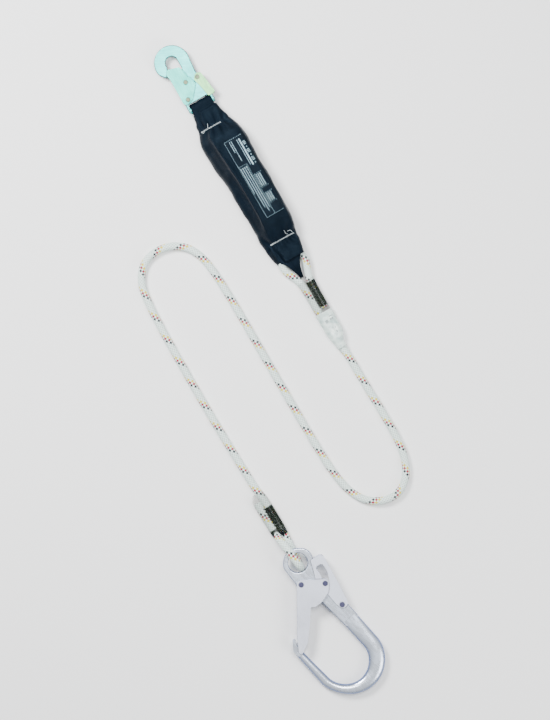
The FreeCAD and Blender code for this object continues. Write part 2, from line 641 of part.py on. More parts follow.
def main():
    """Build every node, write its STEP file and print the joints' anchors."""
    os.makedirs("parts", exist_ok=True)
    snap_hook()
    absorber()
    rope()
    splices()
    scaffold_hook()
    for name, shape in NODES.items():
        shape.exportStep("parts/" + name + ".step")
        limits = shape.BoundBox
        print(name, "solids", len(shape.Solids), "valid", shape.isValid(), "volume", round(shape.Volume, 1))
        print("    height from", round(limits.ZMin, 2), "to", round(limits.ZMax, 2))
    print("snap bar", line_place(SNAP_MID_Z).multVec(SNAP_BAR))
    for title, pivot in (("gate", SNAP_GATE_PIVOT), ("lever", SNAP_LEVER_PIVOT)):
        print("snap", title, "pivot", line_place(SNAP_MID_Z).multVec(pivot))
    print("hook normal", hook_place().Rotation.multVec(Vector(0, 0, 1)))
    for title, pivot in (("ring", Vector(0, 0, 0)), ("gate", GATE_PIVOT), ("lever", LEVER_PIVOT)):
        print("hook", title, "pivot", hook_place().multVec(pivot))


main()
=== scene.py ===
"""A shock absorbing lanyard lying on a pale floor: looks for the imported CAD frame."""
import json
import math
import random

import bpy
import numpy as np
from mathutils import Matrix, Vector, noise
from mathutils.bvhtree import BVHTree


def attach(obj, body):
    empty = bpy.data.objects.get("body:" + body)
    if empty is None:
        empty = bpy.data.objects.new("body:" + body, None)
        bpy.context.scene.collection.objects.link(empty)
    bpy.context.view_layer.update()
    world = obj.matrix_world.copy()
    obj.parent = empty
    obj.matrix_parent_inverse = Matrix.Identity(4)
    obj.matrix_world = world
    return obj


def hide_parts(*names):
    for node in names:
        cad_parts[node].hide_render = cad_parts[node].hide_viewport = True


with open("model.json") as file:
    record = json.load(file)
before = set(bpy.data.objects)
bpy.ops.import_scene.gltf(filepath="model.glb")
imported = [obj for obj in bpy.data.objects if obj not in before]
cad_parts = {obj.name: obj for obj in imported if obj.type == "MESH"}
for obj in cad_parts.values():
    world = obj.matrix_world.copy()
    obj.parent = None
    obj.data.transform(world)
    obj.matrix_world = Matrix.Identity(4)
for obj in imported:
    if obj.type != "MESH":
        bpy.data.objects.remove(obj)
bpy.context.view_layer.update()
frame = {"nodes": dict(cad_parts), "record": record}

RECORD = frame["record"]
JOINTS = {j["name"]: j for j in RECORD["behaviour"]["joints"]}
MM = 0.001


# ---------------------------------------------------------------- places
# The absorber line starts at the snap hook's bar: x runs towards the rope, y across towards +X.
bar = JOINTS["snap_hook_swing"]
across = Vector(bar["axis"])
along = Vector((across.y, -across.x, 0))
BAR_X = 1.0 * MM          # how far the bar lies along its line
line_origin = Vector(bar["pos_m"]) - along * BAR_X
LINE = Matrix.Translation((line_origin.x, line_origin.y, 0)) @ Matrix.Rotation(
    math.atan2(along.y, along.x), 4, "Z")

# The eye line starts at the scaffold hook's ring: x runs along the rope into the ring.
EYE_HEADING = math.radians(-58.5)
ring = Vector(JOINTS["scaffold_hook_swing"]["pos_m"])
EYE = Matrix.Translation((ring.x, ring.y, 0)) @ Matrix.Rotation(EYE_HEADING, 4, "Z")

ROPE_R = 5.5 * MM
LEG_HALF = 5.8 * MM       # half the distance between the two legs of a splice
SPLICE_Z = 7.6 * MM       # height of the rope's middle in a splice


# ---------------------------------------------------------------- camera, floor, light
VIEW_CENTRE = (0.0073, 0.0139)
VIEW_HEIGHT = 1.051       # metres of floor shown from bottom to top
CAMERA_UP = 6.0
VIEW_FAR = 50
SENSOR = 36.0

camera_data = bpy.data.cameras.new("camera")
camera_data.sensor_fit = "VERTICAL"
camera_data.sensor_height = SENSOR
camera_data.lens = SENSOR * CAMERA_UP / VIEW_HEIGHT
camera_data.clip_end = VIEW_FAR
camera = bpy.data.objects.new("camera", camera_data)
camera.location = (*VIEW_CENTRE, CAMERA_UP)
bpy.context.collection.objects.link(camera)
bpy.context.scene.camera = camera


def area_light(name, place, size, power):
    """A round lamp that looks at the middle of the object."""
    light = bpy.data.lights.new(name, "AREA")
    light.shape = "DISK"
    light.size = size
    light.energy = power
    holder = bpy.data.objects.new(name, light)
    holder.location = place
    aim = -Vector(place)
    holder.rotation_euler = aim.to_track_quat("-Z", "Y").to_euler()
    bpy.context.collection.objects.link(holder)


# Each lamp's name, place, diameter and power.
LAMPS = (
    ("key", (-1.0, 1.0, 1.7), 0.8, 92),
    ("fill", (1.5, -0.9, 1.3), 1.2, 30),
    ("top", (0.3, 0.5, 3.0), 1.2, 66),
)
SKY_COLOUR = (0.92, 0.96, 1.0, 1)
SKY_STRENGTH = 0.36

for lamp in LAMPS:
    area_light(*lamp)

world = bpy.data.worlds.new("studio")
world.use_nodes = True
sky = world.node_tree.nodes["Background"]
sky.inputs["Color"].default_value = SKY_COLOUR
sky.inputs["Strength"].default_value = SKY_STRENGTH
bpy.context.scene.world = world


# ---------------------------------------------------------------- materials
SEWN_MAP = "lie"          # the UV map: metres along, then metres across (turns on the rope)
NOISE_ROUGHNESS = 0.55
SHELTER_SAMPLES = 8
MIX_FACTOR, MIX_A, MIX_B = 0, 6, 7      # a colour Mix node's inputs
MIX_RESULT = 2                          # and its output


class Finish:
    """One procedural material, with short calls for the nodes used here."""

    def __init__(self, name, color, roughness, **sockets):
        self.material = bpy.data.materials.new(name)
        self.material.use_nodes = True
        self.tree = self.material.node_tree
        self.shader = self.tree.nodes["Principled BSDF"]
        self.shader.inputs["Base Color"].default_value = (*color, 1)
        self.shader.inputs["Roughness"].default_value = roughness
        for label, value in sockets.items():
            self.shader.inputs[label.replace("_", " ")].default_value = value

    def feed(self, socket, item):
        """Link a socket, or set its value."""
        if isinstance(item, bpy.types.NodeSocket):
            self.tree.links.new(item, socket)
        else:
            socket.default_value = item

    def node(self, kind, **settings):
        made = self.tree.nodes.new(kind)
        for label, value in settings.items():
            setattr(made, label, value)
        return made

    def math(self, operation, a, b=0.0):
        made = self.node("ShaderNodeMath", operation=operation)
        for socket, item in zip(made.inputs, (a, b)):
            self.feed(socket, item)
        return made.outputs[0]

    def mix(self, factor, a, b):
        made = self.node("ShaderNodeMix", data_type="RGBA")
        self.feed(made.inputs[MIX_FACTOR], factor)
        for index, item in ((MIX_A, a), (MIX_B, b)):
            self.feed(made.inputs[index], item if isinstance(item, bpy.types.NodeSocket) else (*item, 1))
        return made.outputs[MIX_RESULT]

    def blend(self, *parts):
        """The sum of (value, weight) pairs, in order."""
        total = None
        for value, weight in parts:
            share = value if weight == 1 else self.math("MULTIPLY", value, weight)
            total = share if total is None else self.math("ADD", total, share)
        return total

    def remap(self, value, low, high, to_low, to_high):
        made = self.node("ShaderNodeMapRange")
        for socket, item in zip(made.inputs, (value, low, high, to_low, to_high)):
            self.feed(socket, item)
        return made.outputs[0]

    def place(self, stretch=(1, 1, 1), turn=(0, 0, 0)):
        """The piece's own place in metres, turned and stretched."""
        coords = self.node("ShaderNodeTexCoord")
        mapping = self.node("ShaderNodeMapping", vector_type="TEXTURE")
        self.feed(mapping.inputs["Vector"], coords.outputs["Object"])
        mapping.inputs["Rotation"].default_value = turn
        mapping.inputs["Scale"].default_value = [1 / s for s in stretch]
        return mapping.outputs[0]

    def sewn(self):
        """(along, across) from the piece's own UV map."""
        source = self.node("ShaderNodeUVMap", uv_map=SEWN_MAP)
        split = self.node("ShaderNodeSeparateXYZ")
        self.feed(split.inputs[0], source.outputs[0])
        return split.outputs[0], split.outputs[1]

    def noise(self, vector, scale, detail):
        made = self.node("ShaderNodeTexNoise")
        self.feed(made.inputs["Vector"], vector)
        made.inputs["Scale"].default_value = scale
        made.inputs["Detail"].default_value = detail
        made.inputs["Roughness"].default_value = NOISE_ROUGHNESS
        return made.outputs[0]

    def shelter(self, distance):
        """1 on open faces, falling to 0 in joins and corners."""
        made = self.node("ShaderNodeAmbientOcclusion", samples=SHELTER_SAMPLES)
        made.inputs["Distance"].default_value = distance
        return made.outputs["AO"]

    def facing_up(self):
        """1 on faces that look up out of the hook's plane, 0 on its sides."""
        coords = self.node("ShaderNodeTexCoord")
        split = self.node("ShaderNodeSeparateXYZ")
        self.feed(split.inputs[0], coords.outputs["Normal"])
        return self.math("ABSOLUTE", split.outputs[2])

    def color(self, item):
        self.feed(self.shader.inputs["Base Color"], item)

    def rough(self, item):
        self.feed(self.shader.inputs["Roughness"], item)

    def bump(self, height, distance, strength=1.0):
        made = self.node("ShaderNodeBump")
        made.inputs["Strength"].default_value = strength
        made.inputs["Distance"].default_value = distance
        self.feed(made.inputs["Height"], height)
        self.feed(self.shader.inputs["Normal"], made.outputs[0])


def ridge(finish, value, period):
    """0 to 1 and back along one period, rounded like a cord's back."""
    phase = finish.math("FRACT", finish.math("DIVIDE", value, period))
    return finish.math("SINE", finish.math("MULTIPLY", phase, math.pi))


METAL_SPREAD = 0.25       # between the roughest and the smoothest patches
# Painted shade in joins and corners: the share of the dark colour they fall to, and how far the occlusion
# looks.
JOIN_SHADE = 0.12              # how much of the dark colour is left in joins and corners
JOIN_SHADE_REACH = 2.5 * MM


def metal(name, light, dark, roughness, grain, turn=0.0, bump=0.00005, metallic=1.0, side_shade=None):
    """Plated or polished metal: long brushed grain, cloudy tone, small dents and painted shade on the
    flanks.
    """
    made = Finish(name, light, roughness, Metallic=metallic)
    brushed = made.noise(made.place(stretch=(1, grain, grain), turn=(0, 0, turn)), 90, 4)
    cloudy = made.noise(made.place(), 28, 2)
    specks = made.noise(made.place(), 900, 2)
    tone = made.blend((brushed, 0.6), (cloudy, 0.4))
    base_colour = made.mix(made.remap(tone, 0.32, 0.68, 0.0, 1.0), dark, light)
    # Painted shade: faces that turn away from straight up are mixed towards the darker side colour.
    if side_shade:
        base_colour = made.mix(made.remap(made.facing_up(), 0.60, 0.985, 0, 1), side_shade, base_colour)
    # Painted shade: where the ambient occlusion finds joins and corners, the colour falls towards a small
    # share of the dark colour.
    join_shade = tuple(JOIN_SHADE * c for c in dark)
    made.color(made.mix(made.remap(made.shelter(JOIN_SHADE_REACH), 0.35, 0.92, 0, 1), join_shade, base_colour))
    made.rough(made.remap(tone, 0.3, 0.7, roughness + METAL_SPREAD / 2, roughness - METAL_SPREAD / 2))
    made.bump(made.blend((brushed, 1), (specks, 0.25)), bump)
    return made.material


# Each metal: light and dark colour, roughness, how long its grain is and which way the grain runs; some
# also take a darker colour for their sides, which is painted shade.
SHEET_TURN = -1.05
STEEL = metal("zinc_green", (0.11, 0.56, 0.53), (0.08, 0.46, 0.44), 0.42, 7, side_shade=(0.03, 0.14, 0.16))
STEEL_GATE = metal("zinc_green_sheet", (0.09, 0.50, 0.42), (0.05, 0.38, 0.33), 0.42, 9, SHEET_TURN,
                   side_shade=(0.02, 0.12, 0.16))
STEEL_LEVER = metal("zinc_yellow_sheet", (0.24, 0.52, 0.24), (0.16, 0.40, 0.18), 0.42, 9, SHEET_TURN,
                    side_shade=(0.04, 0.13, 0.10))
RIVET = metal("plated_rivet", (0.17, 0.20, 0.13), (0.09, 0.11, 0.08), 0.42, 1)
DARK_RIVET = metal("dark_rivet", (0.13, 0.13, 0.22), (0.05, 0.05, 0.10), 0.40, 1)
FORGED = metal("forged_aluminium", (0.80, 0.85, 0.94), (0.66, 0.74, 0.87), 0.27, 2.5, -0.8,
               metallic=0.7, side_shade=(0.10, 0.15, 0.32))
PRESSED = metal("pressed_aluminium", (0.76, 0.80, 0.91), (0.70, 0.74, 0.86), 0.40, 10, -1.4,
                bump=0.00002, metallic=0.65, side_shade=(0.08, 0.11, 0.24))

NODE_FINISH = {
    "snap_hook_body": STEEL,
    "snap_hook_gate": STEEL_GATE,
    "snap_hook_lever": STEEL_LEVER,
    "snap_hook_gate_rivet": RIVET,
    "snap_hook_stop_pin": RIVET,
    "snap_hook_lever_rivet": RIVET,
    "snap_hook_gate_spring": RIVET,
    "snap_hook_lever_spring": RIVET,
    "scaffold_hook_body": FORGED,
    "scaffold_hook_lever": PRESSED,
    "scaffold_hook_gate": PRESSED,
    "scaffold_hook_gate_rivet": DARK_RIVET,
    "scaffold_hook_lock_pin": DARK_RIVET,
    "scaffold_hook_lever_rivet": DARK_RIVET,
    "scaffold_hook_gate_spring": RIVET,
    "scaffold_hook_lever_spring": RIVET,
}


STRANDS = 8               # in each of the two sets that run round the rope
ROPE_LAY = 0.0367         # along the rope, one turn of a strand
TRACERS = ((0.002, 0.005, 0.012), (0.34, 0.0, 0.025), (0.72, 0.58, 0.0))


def rope_finish():
    """White plaited mantle with three coloured tracer strands side by side."""
    made = Finish("rope_mantle", (0.80, 0.88, 0.85), 0.72, Sheen_Weight=0.25, Sheen_Roughness=0.5)
    length, turn = made.sewn()
    lead = made.math("DIVIDE", length, ROPE_LAY)
    right = made.math("MULTIPLY", made.math("SUBTRACT", turn, lead), STRANDS)
    left = made.math("MULTIPLY", made.math("ADD", turn, lead), STRANDS)
    right_id = made.math("FLOORED_MODULO", made.math("FLOOR", right), STRANDS)
    left_id = made.math("FLOORED_MODULO", made.math("FLOOR", left), STRANDS)
    parity = made.math("FLOORED_MODULO", made.math("ADD", right_id, left_id), 2)
    on_top = made.math("LESS_THAN", parity, 0.5)
    right_back = made.math("SINE", made.math("MULTIPLY", made.math("FRACT", right), math.pi))
    left_back = made.math("SINE", made.math("MULTIPLY", made.math("FRACT", left), math.pi))
    height = made.math("POWER", made.math("MULTIPLY", right_back, left_back), 0.5)
    fuzz = made.noise(made.place(), 2600, 2)
    shade = made.blend((height, 1), (fuzz, 0.35))
    # Painted shade: the gaps between strands are darkened and the strands' backs kept light, with random
    # fuzz in the tone.
    colour = made.mix(made.remap(shade, 0.15, 0.75, 0, 1), (0.20, 0.29, 0.27), (0.74, 0.86, 0.81))
    for index, tint in enumerate(TRACERS):
        gap = made.math("ABSOLUTE", made.math("SUBTRACT", right_id, index))
        here = made.math("MULTIPLY", made.math("LESS_THAN", gap, 0.5), on_top)
        colour = made.mix(here, colour, tint)
    made.color(colour)
    made.bump(made.blend((height, 1), (fuzz, 0.2)), 0.0005, 0.8)
    return made.material


def cloth_finish(name, dark, light, pitch_along, pitch_across, roughness, depth):
    """Black woven cloth: warp and weft ridges over each other, dusty in broad patches."""
    made = Finish(name, dark, roughness, Specular_IOR_Level=0.11, Specular_Tint=(0.45, 0.72, 1.0, 1))
    length, width = made.sewn()
    warp = ridge(made, width, pitch_across)
    weft = ridge(made, length, pitch_along)
    columns = made.math("FLOOR", made.math("DIVIDE", width, pitch_across))
    rows = made.math("FLOOR", made.math("DIVIDE", length, pitch_along))
    parity = made.math("FLOORED_MODULO", made.math("ADD", columns, rows), 2)
    height = made.math("ADD", made.math("MULTIPLY", warp, parity),
                       made.math("MULTIPLY", weft, made.math("SUBTRACT", 1.0, parity)))
    dust = made.noise(made.place(), 35, 5)
    lint = made.noise(made.place(), 1500, 2)
    tone = made.blend((height, 0.45), (dust, 0.75), (lint, 0.2))
    made.color(made.mix(made.remap(tone, 0.45, 1.05, 0, 1), dark, light))
    made.rough(made.remap(tone, 0.4, 1.0, roughness + 0.1, roughness - 0.12))
    made.bump(height, depth, 0.9)
    return made.material


ROPE = rope_finish()
COVER = cloth_finish("cover_cloth", (0.0001, 0.0004, 0.0010), (0.0034, 0.0076, 0.0145),
                     0.0007, 0.0007, 0.38, 0.00012)
WEBBING = cloth_finish("black_webbing", (0.0004, 0.0010, 0.0022), (0.005, 0.010, 0.018),
                       0.0016, 0.0012, 0.50, 0.0003)
THREAD_TWIST = 0.0009     # along the thread, one turn of its plies


def thread_finish(name, dark, light, shine, sheen):
    """Twisted sewing thread, a little cloudy."""
    made = Finish(name, light, 0.6, Sheen_Weight=sheen, Specular_IOR_Level=shine)
    length, _ = made.sewn()
    twist = ridge(made, length, THREAD_TWIST)
    cloud = made.noise(made.place(), 300, 2)
    tone = made.blend((twist, 0.6), (cloud, 0.5))
    made.color(made.mix(made.remap(tone, 0.2, 0.9, 0, 1), dark, light))
    made.bump(twist, 0.0001, 0.8)
    return made.material


BLACK_THREAD = thread_finish("black_thread", (0.0003, 0.0008, 0.0014), (0.004, 0.009, 0.013), 0.12, 0.0)
WHITE_THREAD = thread_finish("white_thread", (0.50, 0.60, 0.62), (0.85, 0.93, 0.94), 0.5, 0.2)

# The tear webbing is shut inside the cover, so a plain dark grain stands in for its weave.
NODE_FINISH["tear_webbing"] = metal("tear_webbing", (0.035, 0.055, 0.075), (0.008, 0.012, 0.018), 0.7, 12)

for node_name, finish in NODE_FINISH.items():
    item = frame["nodes"][node_name]
    item.data.materials.clear()
    item.data.materials.append(finish)


# ---------------------------------------------------------------- mesh helpers
def link(name, vertices, faces, finish, uvs=None, smooth=True):
    """A mesh piece in the scene, with its finish."""
    mesh = bpy.data.meshes.new(name)
    mesh.from_pydata([tuple(v) for v in vertices], [], faces)
    if uvs is not None:
        layer = mesh.uv_layers.new(name=SEWN_MAP)
        flat = np.array([uv for face in uvs for uv in face], dtype=np.float32)
        layer.data.foreach_set("uv", flat.ravel())
    mesh.polygons.foreach_set("use_smooth", [smooth] * len(mesh.polygons))
    mesh.materials.append(finish)
    mesh.validate()
    mesh.update()
    made = bpy.data.objects.new(name, mesh)
    bpy.context.collection.objects.link(made)
    return made


def centre(points):
    """The mean of some points."""
    return sum(points, Vector()) / len(points)


def skin(name, rings, finish, place, closed=False):
    """A closed skin through rings of equal count. UV: metres along, metres round."""
    rings = [[Vector(p) for p in r] for r in rings]
    lengths = [0.0]
    for a, b in zip(rings, rings[1:]):
        lengths.append(lengths[-1] + (centre(b) - centre(a)).length)
    count = len(rings[0])
    rounds = [0.0]
    middle = rings[len(rings) // 2]
    for i in range(count):
        rounds.append(rounds[-1] + (middle[(i + 1) % count] - middle[i]).length)
    vertices = [p for r in rings for p in r]
    faces = []
    uvs = []
    spans = len(rings) if closed else len(rings) - 1
    for k in range(spans):
        k2 = (k + 1) % len(rings)
        for i in range(count):
            j = (i + 1) % count
            faces.append((k * count + i, k * count + j, k2 * count + j, k2 * count + i))
            end = lengths[k2] if k2 > k else lengths[k]
            uvs.append(((lengths[k], rounds[i]), (lengths[k], rounds[i + 1]),
                        (end, rounds[i + 1]), (end, rounds[i])))
    if not closed:
        for k, order in ((0, -1), (len(rings) - 1, 1)):
            faces.append(tuple(k * count + i for i in range(count))[::order])
            uvs.append(tuple((lengths[k], rounds[i]) for i in range(count))[::order])
    vertices = [place @ v for v in vertices]
    return link(name, vertices, faces, finish, uvs)


def tube(name, points, radius, sides, finish, place=None, uv_turns=False):
    """A tube whose ring centres are the points, turned as little as possible."""
    points = [Vector(p) if place is None else place @ Vector(p) for p in points]
    last = len(points) - 1
    side = None
    vertices = []
    lengths = [0.0]
    for i, p in enumerate(points):
        ahead = (points[min(i + 1, last)] - points[max(i - 1, 0)]).normalized()
        if side is None:
            side = ahead.cross(Vector((0, 0, 1)))
        side = (side - ahead * side.dot(ahead)).normalized()
        up = side.cross(ahead)
        for k in range(sides):
            turn = 2 * math.pi * k / sides
            vertices.append(p + side * (radius * math.cos(turn)) + up * (radius * math.sin(turn)))
        if i:
            lengths.append(lengths[-1] + (p - points[i - 1]).length)
    faces = []
    uvs = []
    unit = 1 / sides if uv_turns else 2 * math.pi * radius / sides
    for i in range(last):
        for k in range(sides):
            k2 = (k + 1) % sides
            faces.append((i * sides + k, i * sides + k2, (i + 1) * sides + k2, (i + 1) * sides + k))
            uvs.append(((lengths[i], k * unit), (lengths[i], (k + 1) * unit),
                        (lengths[i + 1], (k + 1) * unit), (lengths[i + 1], k * unit)))
    for i, order in ((0, -1), (last, 1)):
        faces.append(tuple(i * sides + k for k in range(sides))[::order])
        uvs.append(tuple((lengths[i], k * unit) for k in range(sides))[::order])
    return link(name, vertices, faces, finish, uvs)


# ---------------------------------------------------------------- rope
# The rope's route in metres, as the CAD has it: upper eye, free rope, lower eye.
UPPER_EYE = [
    (0.346, 0.0058, 0.0076), (0.301, 0.0060, 0.0076), (0.286, 0.0109, 0.0079), (0.269, 0.0174, 0.0090),
    (0.255, 0.0126, 0.0093), (0.2512, -0.0025, 0.0094), (0.2565, -0.0170, 0.0093),
    (0.2715, -0.0194, 0.0090), (0.288, -0.0108, 0.0079), (0.304, -0.0061, 0.0076),
    (0.350, -0.0058, 0.0076), (0.392, -0.0044, 0.0074), (0.420, 0.0002, 0.0055),
]
FREE_ROPE = [
    (0.136, -0.017), (0.1655, -0.0645), (0.190, -0.108), (0.2005, -0.144), (0.193, -0.177),
    (0.165, -0.1935), (0.130, -0.189), (0.098, -0.160), (0.061, -0.101), (0.001, 0.0025),
    (-0.057, 0.1035), (-0.089, 0.154), (-0.114, 0.177), (-0.147, 0.182), (-0.181, 0.164),
    (-0.1905, 0.129), (-0.172, 0.084), (-0.1275, 0.004), (-0.086, -0.0685), (-0.044, -0.1373),
]
LOWER_EYE = [
    (-0.121, 0.0032, 0.0065), (-0.101, 0.00575, 0.0076), (-0.060, 0.0058, 0.0076),
    (-0.036, 0.0044, 0.0060), (-0.012, 0.0020, 0.0058), (0.0055, 0.0006, 0.0068),
    (0.010, 0.0002, 0.0180), (0.003, -0.0004, 0.0300), (-0.016, -0.0016, 0.0316),
    (-0.033, -0.0038, 0.0260), (-0.050, -0.0057, 0.0094), (-0.064, -0.0058, 0.0076),
    (-0.104, -0.0058, 0.0076),
]

ROUTE_STEPS = 26          # vertices traced in each span of the route
ROUTE_ORDER = 3           # a quadratic curve, as in the CAD
ROPE_SIDES = 32

route = [LINE @ Vector(p) for p in UPPER_EYE]
route += [Vector((x, y, ROPE_R)) for x, y in FREE_ROPE]
route += [EYE @ Vector(p) for p in LOWER_EYE]

guide_curve = bpy.data.curves.new("rope_route", "CURVE")
guide_curve.dimensions = "3D"
guide_curve.resolution_u = ROUTE_STEPS
spline = guide_curve.splines.new("NURBS")
spline.points.add(len(route) - 1)
for point, place in zip(spline.points, route):
    point.co = (*place, 1)
spline.order_u = ROUTE_ORDER
spline.use_endpoint_u = True
guide = bpy.data.objects.new("rope_route", guide_curve)
bpy.context.collection.objects.link(guide)
traced = bpy.data.meshes.new_from_object(guide)
rope_path = [v.co.copy() for v in traced.vertices]
bpy.data.objects.remove(guide)

rope = tube("rope_mantle", rope_path, ROPE_R, ROPE_SIDES, ROPE, uv_turns=True)
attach(rope, "lanyard")
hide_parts("rope")

# ---------------------------------------------------------------- cover
# The sewn cover's sections along the line: x, left edge, fold line, right edge, underside, top.
COVER_SECTIONS = np.array([
    (0.0092, -0.0212, -0.0100, 0.0168, 0.0018, 0.0196),
    (0.018, -0.0233, -0.0112, 0.0190, 0.0030, 0.0204),
    (0.027, -0.0256, -0.0122, 0.0214, 0.0050, 0.0212),
    (0.0365, -0.0272, -0.0140, 0.0228, 0.0074, 0.0216),
    (0.045, -0.0312, -0.0158, 0.0265, 0.0040, 0.0262),
    (0.056, -0.0345, -0.0160, 0.0300, 0.0008, 0.0318),
    (0.075, -0.0342, -0.0150, 0.0314, 0.0004, 0.0338),
    (0.110, -0.0312, -0.0122, 0.0298, 0.0004, 0.0336),
    (0.145, -0.0298, -0.0112, 0.0312, 0.0004, 0.0338),
    (0.185, -0.0290, -0.0118, 0.0303, 0.0004, 0.0336),
    (0.205, -0.0293, -0.0138, 0.0290, 0.0008, 0.0318),
    (0.219, -0.0298, -0.0145, 0.0272, 0.0038, 0.0266),
    (0.229, -0.0290, -0.0130, 0.0240, 0.0068, 0.0210),
    (0.240, -0.0286, -0.0125, 0.0236, 0.0030, 0.0216),
    (0.252, -0.0264, -0.0115, 0.0222, 0.0010, 0.0224),
    (0.2615, -0.0228, -0.0100, 0.0190, 0.0007, 0.0214),
])
UPPER_BAR = 0.0365
LOWER_BAR = 0.229
COVER_WALL = 1.3 * MM
COVER_STEP = 1.25 * MM    # between the rings of its mesh
COVER_HEM = 7 * MM        # turned in at each mouth
COVER_REST = 0.3 * MM     # its underside stays this far above the floor
RING_STEPS = 8            # vertices for each corner of a ring
EASE = 3 * MM


def section_at(x):
    """The cover's section, eased between its neighbours."""
    places, *columns = COVER_SECTIONS.T
    rows = []
    for shift in (-EASE, 0.0, EASE):
        rows.append([np.interp(x + shift, places, column) for column in columns])
    return np.mean(rows, axis=0)


def b_spline_ring(corners, per_span):
    """A smooth closed ring near its corners: a uniform cubic B-spline."""
    corners = [Vector(c) for c in corners]
    count = len(corners)
    ring_points = []
    for i in range(count):
        a, b, c, d = (corners[(i + k - 1) % count] for k in range(4))
        for step in range(per_span):
            t = step / per_span
            ring_points.append(a * ((1 - t) ** 3 / 6) + b * ((3 * t ** 3 - 6 * t ** 2 + 4) / 6)
                               + c * ((-3 * t ** 3 + 3 * t ** 2 + 3 * t + 1) / 6) + d * (t ** 3 / 6))
    return ring_points


def cover_ring(x):
    """The cover's outline across the line: flat below, full on the right, folded over on the left."""
    left, fold, right, low, high = section_at(x)
    wide = right - left
    tall = high - low
    crown = 0.012 * wide
    corners = [
        (left + 0.04 * wide, low + 0.02 * tall), (left + 0.25 * wide, low), (left + 0.50 * wide, low),
        (right - 0.25 * wide, low), (right - 0.04 * wide, low + 0.02 * tall),
        (right + 0.01 * wide, low + 0.16 * tall),
        (right + 0.015 * wide, low + 0.50 * tall), (right + 0.005 * wide, high - 0.16 * tall),
        (right - 0.03 * wide, high + 0.01 * tall), (right - 0.20 * wide, high + crown),
        (right - 0.42 * wide, high + 1.5 * crown), (fold + 0.12 * wide, high + crown),
        (fold + 0.02 * wide, high + 0.06 * tall), (fold - 0.01 * wide, high + 0.03 * tall),
        (fold - 0.07 * wide, high - 0.13 * tall), (left + 0.12 * wide, low + 0.66 * tall),
        (left + 0.015 * wide, low + 0.52 * tall), (left - 0.012 * wide, low + 0.22 * tall),
    ]
    return [Vector((x, y, z)) for y, z, _ in b_spline_ring([(y, z, 0) for y, z in corners], RING_STEPS)]


def crumple(place):
    """How far the cover's cloth stands out (or in) at a place in the absorber line's frame."""
    x, y, z = place
    away = 0.0
    flat = 1 - 0.75 * min(1.0, (abs(y + 0.002) / 0.027) ** 4)
    for bar_x in (UPPER_BAR, LOWER_BAR):
        gap = abs(x - bar_x)
        fan = 1 + gap / 0.030
        fade = math.exp(-gap / 0.016) * (1 - math.exp(-gap / 0.0035))
        swirl = noise.noise(Vector((x * 60, y * 25, z * 25 + bar_x * 40)))
        pleat = math.sin(y / fan * 2 * math.pi / 0.0105 + 2.4 * swirl + 40 * bar_x)
        away += 1.9 * MM * fade * flat * pleat
    body = math.exp(-((x - 0.132) / 0.085) ** 4)
    long_fold = noise.noise(Vector((x * 22, y * 75 + 3, z * 75)))
    cross_fold = noise.noise(Vector((x * 55 + y * 30, y * 32 + 9, z * 32)))
    small = noise.noise(Vector((x * 140, y * 120, z * 120 + 5)))
    slack = 0.45 if y > -0.008 and z > 0.028 else 1.0
    away += slack * (1.15 * MM * long_fold * (0.5 + body) + 0.75 * MM * cross_fold + 0.28 * MM * small)
    if z > 0.012:
        span = max(0.0, 1 - ((x - 0.128) / 0.082) ** 4)
        fold_y = section_at(x)[1]
        away += 0.9 * MM * span * math.exp(-((y - fold_y - 0.0006) / 0.0013) ** 2)
        away -= 1.1 * MM * span * math.exp(-((y - fold_y + 0.0038) / 0.0024) ** 2)
    return away


def inward(section, shift):
    """A mouth's ring moved in by the cloth's thickness, and along the line."""
    middle = centre(section)
    moved = []
    for p in section:
        y_gap = p.y - middle.y
        z_gap = p.z - middle.z
        moved.append(Vector((p.x + shift, p.y - math.copysign(min(COVER_WALL, abs(y_gap)), y_gap),
                             p.z - math.copysign(min(COVER_WALL, abs(z_gap)), z_gap))))
    return moved


def cover_mesh():
    """Rings of the crumpled cloth, with a turned-in hem at each mouth."""
    start = COVER_SECTIONS[0, 0]
    end = COVER_SECTIONS[-1, 0]
    count = int((end - start) / COVER_STEP)
    rings = []
    for i in range(count + 1):
        x = start + (end - start) * i / count
        section = cover_ring(x)
        middle = centre(section)
        edge = min(1.0, 0.25 + min(x - start, end - x) / 0.010)
        bent = []
        for k, p in enumerate(section):
            run = section[(k + 1) % len(section)] - section[k - 1]
            out = Vector((0, run.z, -run.y)).normalized()
            if out.dot(p - middle) < 0:
                out = -out
            moved = p + out * crumple(p) * edge
            moved.z = max(moved.z, COVER_REST)
            bent.append(moved)
        rings.append(bent)
    first, last = rings[0], rings[-1]
    turn = 0.2 * MM
    head = [inward(first, COVER_HEM), inward(first, turn)]
    tail = [inward(last, -turn), inward(last, -COVER_HEM)]
    return head + rings + tail


cover = skin("absorber_cover_cloth", cover_mesh(), COVER, LINE)
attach(cover, "lanyard")
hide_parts("absorber_cover")

RAY_START = 0.1           # above everything
DOWN = Vector((0, 0, -1))


def surface_of(piece):
    """A piece's faces, for finding heights on it."""
    return BVHTree.FromPolygons([v.co for v in piece.data.vertices],
                                [tuple(f.vertices) for f in piece.data.polygons])


cover_tree = surface_of(cover)


def top_of_cover(x, y):
    """Height of the cover's cloth above the floor at a place in the absorber line's frame."""
    return cover_tree.ray_cast(LINE @ Vector((x, y, RAY_START)), DOWN)[0].z


# ---------------------------------------------------------------- webbing
WEB_THICK = 2.3 * MM
WEB_RIBS = 20
RIB_HEIGHT = 0.16 * MM
RIB_COLUMNS = 4           # columns of faces on each rib
WEB_REST = 0.2 * MM       # its underside stays this far above the floor
LINE_POINTS = 150         # a smoothed line stops being cut past this


def smooth_line(points):
    """A line through given points, its corners cut again and again."""
    line = [Vector(p) for p in points]
    while len(line) <= LINE_POINTS:
        cut = [line[0]]
        for a, b in zip(line, line[1:]):
            cut.append(a.lerp(b, 0.25))
            cut.append(a.lerp(b, 0.75))
        cut.append(line[-1])
        line = cut
    return line


